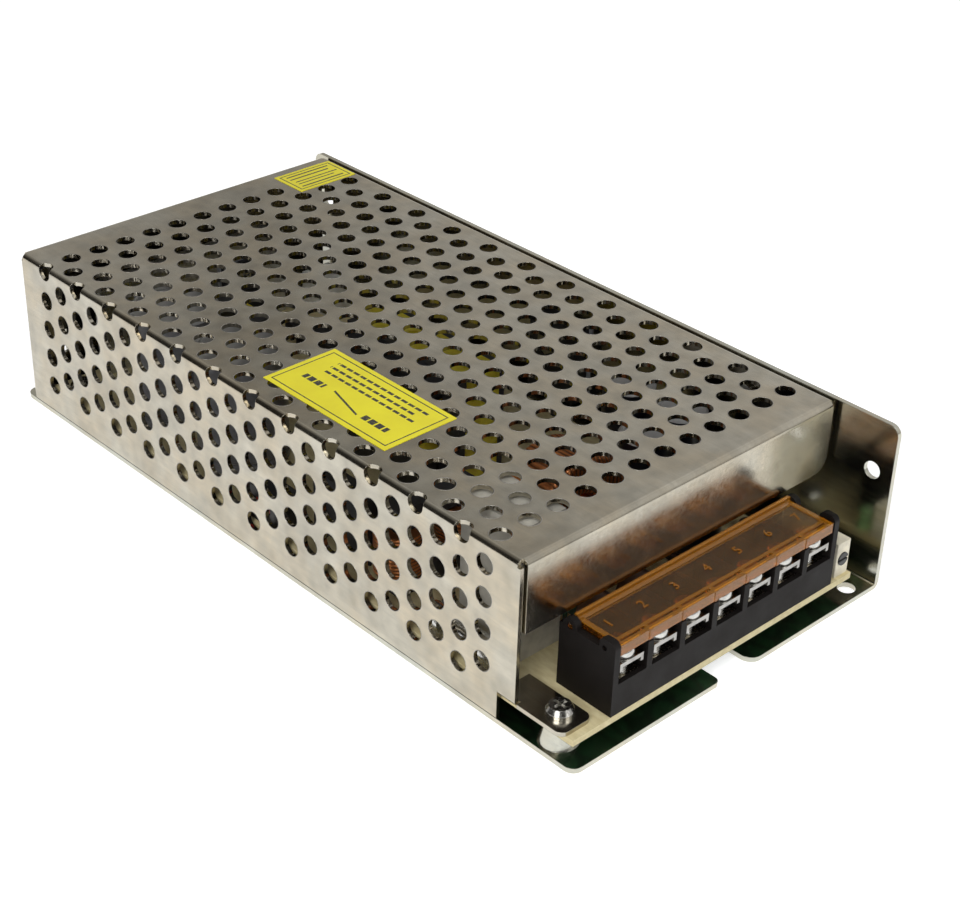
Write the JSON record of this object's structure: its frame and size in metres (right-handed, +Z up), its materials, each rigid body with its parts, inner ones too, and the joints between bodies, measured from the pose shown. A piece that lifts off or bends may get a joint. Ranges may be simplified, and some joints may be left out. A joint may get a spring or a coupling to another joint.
{
  "type": "mesh case switching power supply",
  "caption": "Low flat power supply: bent metal base with one solid side wall, perforated bent cover, circuit board inside, screw terminal block with an amber flip cover at the front.",
  "frame": {"origin": "centre of the case's underside", "axes": "+X towards the solid side wall, -X towards the perforated side, -Y towards the terminal end, +Z up from the mounting base"},
  "size_m": [0.098, 0.199, 0.0421],
  "materials": {
    "case_steel": "plain zinc plated sheet, mirror-like inside",
    "cover_steel": "plain zinc plated sheet, slightly mottled",
    "board": "cream phenolic laminate",
    "bright_screw": "bright nickel plate",
    "block_black": "moulded black plastic",
    "contact_metal": "tin plated brass",
    "clamp_metal": "zinc plated steel",
    "amber_plastic": "clear amber plastic",
    "cream_plastic": "moulded cream plastic",
    "black_plastic": "moulded black plastic",
    "lamp_green": "tinted clear plastic",
    "fuse_glass": "clear glass tube with metal caps",
    "tin_plate": "tin plated sheet",
    "thermistor_green": "dipped dark green",
    "film_grey": "moulded light grey plastic",
    "disc_blue": "dipped blue",
    "ferrite": "dark grey ferrite",
    "copper_wire": "enamelled copper wire",
    "selector_red": "moulded red plastic",
    "can_grey": "aluminium can with a grey sleeve",
    "can_blue": "dark blue shrunk sleeve",
    "tape_yellow": "yellow polyester tape",
    "sink_aluminium": "plain aluminium",
    "pad_grey": "grey insulating pad",
    "powder_yellow": "yellow painted iron powder ring",
    "resistor_white": "white cement",
    "sticker_yellow": "yellow printed sticker"
  },
  "bodies": {
    "case": {"chassis": "case_steel", "mesh_cover": "cover_steel", "circuit_board": "board", "board_screws": "bright_screw", "cover_foot_screw": "bright_screw", "wall_screws": "bright_screw", "terminal_block": "block_black", "terminal_contacts": "contact_metal", "trimmer_body": "cream_plastic", "power_lamp": "lamp_green", "fuse_tube": "fuse_glass", "fuse_clips": "tin_plate", "inrush_thermistor": "thermistor_green", "line_filter_capacitor": "film_grey", "suppression_capacitors": "disc_blue", "line_choke_core": "ferrite", "line_choke_windings": "copper_wire", "bridge_rectifier": "black_plastic", "voltage_selector_body": "black_plastic", "bulk_capacitor_front": "can_grey", "bulk_capacitor_rear": "can_grey", "main_transformer_core": "ferrite", "main_transformer_bobbin": "black_plastic", "main_transformer_winding": "tape_yellow", "main_transformer_tape": "tape_yellow", "driver_transformer_core": "ferrite", "driver_transformer_winding": "tape_yellow", "heat_sink": "sink_aluminium", "switching_transistors": "black_plastic", "transistor_screws": "bright_screw", "control_chip": "black_plastic", "output_rectifier": "black_plastic", "insulating_pads": "pad_grey", "rectifier_nut": "bright_screw", "output_choke_core": "powder_yellow", "output_choke_winding": "copper_wire", "output_capacitors": "can_blue", "load_resistor": "resistor_white", "voltage_label": "sticker_yellow", "small_label": "sticker_yellow"},
    "flip_cover": {"terminal_cover": "amber_plastic"},
    "clamp_1": {"terminal_clamp_1": "clamp_metal"},
    "screw_1": {"terminal_screw_1": "bright_screw"},
    "clamp_2": {"terminal_clamp_2": "clamp_metal"},
    "screw_2": {"terminal_screw_2": "bright_screw"},
    "clamp_3": {"terminal_clamp_3": "clamp_metal"},
    "screw_3": {"terminal_screw_3": "bright_screw"},
    "clamp_4": {"terminal_clamp_4": "clamp_metal"},
    "screw_4": {"terminal_screw_4": "bright_screw"},
    "clamp_5": {"terminal_clamp_5": "clamp_metal"},
    "screw_5": {"terminal_screw_5": "bright_screw"},
    "clamp_6": {"terminal_clamp_6": "clamp_metal"},
    "screw_6": {"terminal_screw_6": "bright_screw"},
    "clamp_7": {"terminal_clamp_7": "clamp_metal"},
    "screw_7": {"terminal_screw_7": "bright_screw"},
    "trimmer": {"trimmer_rotor": "black_plastic"},
    "selector": {"voltage_selector_slider": "selector_red"}
  },
  "joints": [
    {"name": "flip_cover_hinge", "type": "hinge", "parent": "case", "child": "flip_cover", "pos_m": [-0.0017, -0.085, 0.0226], "axis": [-1, 0, 0], "range_deg": [0, 90]},
    {"name": "clamp_1_slide", "type": "slide", "parent": "case", "child": "clamp_1", "axis": [0, 0, 1], "range_m": [-0.002, 0]},
    {"name": "screw_1_turn", "type": "hinge", "parent": "clamp_1", "child": "screw_1", "pos_m": [-0.0311, -0.0936, 0.02], "axis": [0, 0, 1], "range_deg": [-1204, 0]},
    {"name": "clamp_2_slide", "type": "slide", "parent": "case", "child": "clamp_2", "axis": [0, 0, 1], "range_m": [-0.002, 0]},
    {"name": "screw_2_turn", "type": "hinge", "parent": "clamp_2", "child": "screw_2", "pos_m": [-0.0213, -0.0936, 0.02], "axis": [0, 0, 1], "range_deg": [-1204, 0]},
    {"name": "clamp_3_slide", "type": "slide", "parent": "case", "child": "clamp_3", "axis": [0, 0, 1], "range_m": [-0.002, 0]},
    {"name": "screw_3_turn", "type": "hinge", "parent": "clamp_3", "child": "screw_3", "pos_m": [-0.0115, -0.0936, 0.02], "axis": [0, 0, 1], "range_deg": [-1204, 0]},
    {"name": "clamp_4_slide", "type": "slide", "parent": "case", "child": "clamp_4", "axis": [0, 0, 1], "range_m": [-0.002, 0]},
    {"name": "screw_4_turn", "type": "hinge", "parent": "clamp_4", "child": "screw_4", "pos_m": [-0.0017, -0.0936, 0.02], "axis": [0, 0, 1], "range_deg": [-1204, 0]},
    {"name": "clamp_5_slide", "type": "slide", "parent": "case", "child": "clamp_5", "axis": [0, 0, 1], "range_m": [-0.002, 0]},
    {"name": "screw_5_turn", "type": "hinge", "parent": "clamp_5", "child": "screw_5", "pos_m": [0.0081, -0.0936, 0.02], "axis": [0, 0, 1], "range_deg": [-1204, 0]},
    {"name": "clamp_6_slide", "type": "slide", "parent": "case", "child": "clamp_6", "axis": [0, 0, 1], "range_m": [-0.002, 0]},
    {"name": "screw_6_turn", "type": "hinge", "parent": "clamp_6", "child": "screw_6", "pos_m": [0.0179, -0.0936, 0.02], "axis": [0, 0, 1], "range_deg": [-1204, 0]},
    {"name": "clamp_7_slide", "type": "slide", "parent": "case", "child": "clamp_7", "axis": [0, 0, 1], "range_m": [-0.002, 0]},
    {"name": "screw_7_turn", "type": "hinge", "parent": "clamp_7", "child": "screw_7", "pos_m": [0.0277, -0.0936, 0.02], "axis": [0, 0, 1], "range_deg": [-1204, 0]},
    {"name": "trimmer_turn", "type": "hinge", "parent": "case", "child": "trimmer", "pos_m": [0.0378, -0.0955, 0.0114], "axis": [0, 1, 0], "range_deg": [-140, 140]},
    {"name": "selector_slide", "type": "slide", "parent": "case", "child": "selector", "axis": [0, 1, 0], "range_m": [0, 0.0025]}
  ],
  "couplings": [
    {"joint": "screw_1_turn", "follows": "clamp_1_slide", "rad_per_m": 10472},
    {"joint": "screw_2_turn", "follows": "clamp_2_slide", "rad_per_m": 10472},
    {"joint": "screw_3_turn", "follows": "clamp_3_slide", "rad_per_m": 10472},
    {"joint": "screw_4_turn", "follows": "clamp_4_slide", "rad_per_m": 10472},
    {"joint": "screw_5_turn", "follows": "clamp_5_slide", "rad_per_m": 10472},
    {"joint": "screw_6_turn", "follows": "clamp_6_slide", "rad_per_m": 10472},
    {"joint": "screw_7_turn", "follows": "clamp_7_slide", "rad_per_m": 10472}
  ]
}
